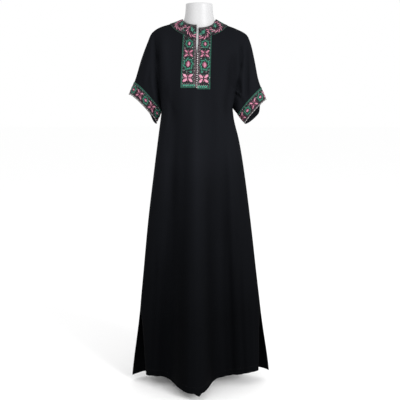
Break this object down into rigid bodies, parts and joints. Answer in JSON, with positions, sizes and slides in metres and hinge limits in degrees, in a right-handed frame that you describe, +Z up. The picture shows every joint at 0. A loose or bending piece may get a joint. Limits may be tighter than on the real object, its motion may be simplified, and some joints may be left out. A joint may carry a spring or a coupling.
{
  "type": "kaftan on dress form",
  "caption": "Full-length black kaftan with short kimono sleeves and embroidered neck, placket and cuffs, hung on a limbless dress form with a plate stand.",
  "frame": {"origin": "on the underside of the stand's base plate, on the floor, below the middle of the neck", "axes": "+Z up; the front of the garment faces -Y; the wearer's left is +X"},
  "size_m": [0.5743, 0.3509, 1.54],
  "materials": {
    "black_crepe": "matte near-black crepe",
    "embroidered_band": "black ground close-stitched in pink, green and white thread with small beads",
    "form_shell": "smooth satin white shell",
    "stand_metal": "satin white powder coat"
  },
  "bodies": {
    "root": {"front_panel": "black_crepe", "back_panel": "black_crepe", "front_band_right": "embroidered_band", "front_band_left": "embroidered_band", "back_neck_band": "embroidered_band", "cuff_band_right": "embroidered_band", "cuff_band_left": "embroidered_band", "dress_form": "form_shell", "stand_pole": "stand_metal", "stand_base": "stand_metal"}
  },
  "joints": []
}
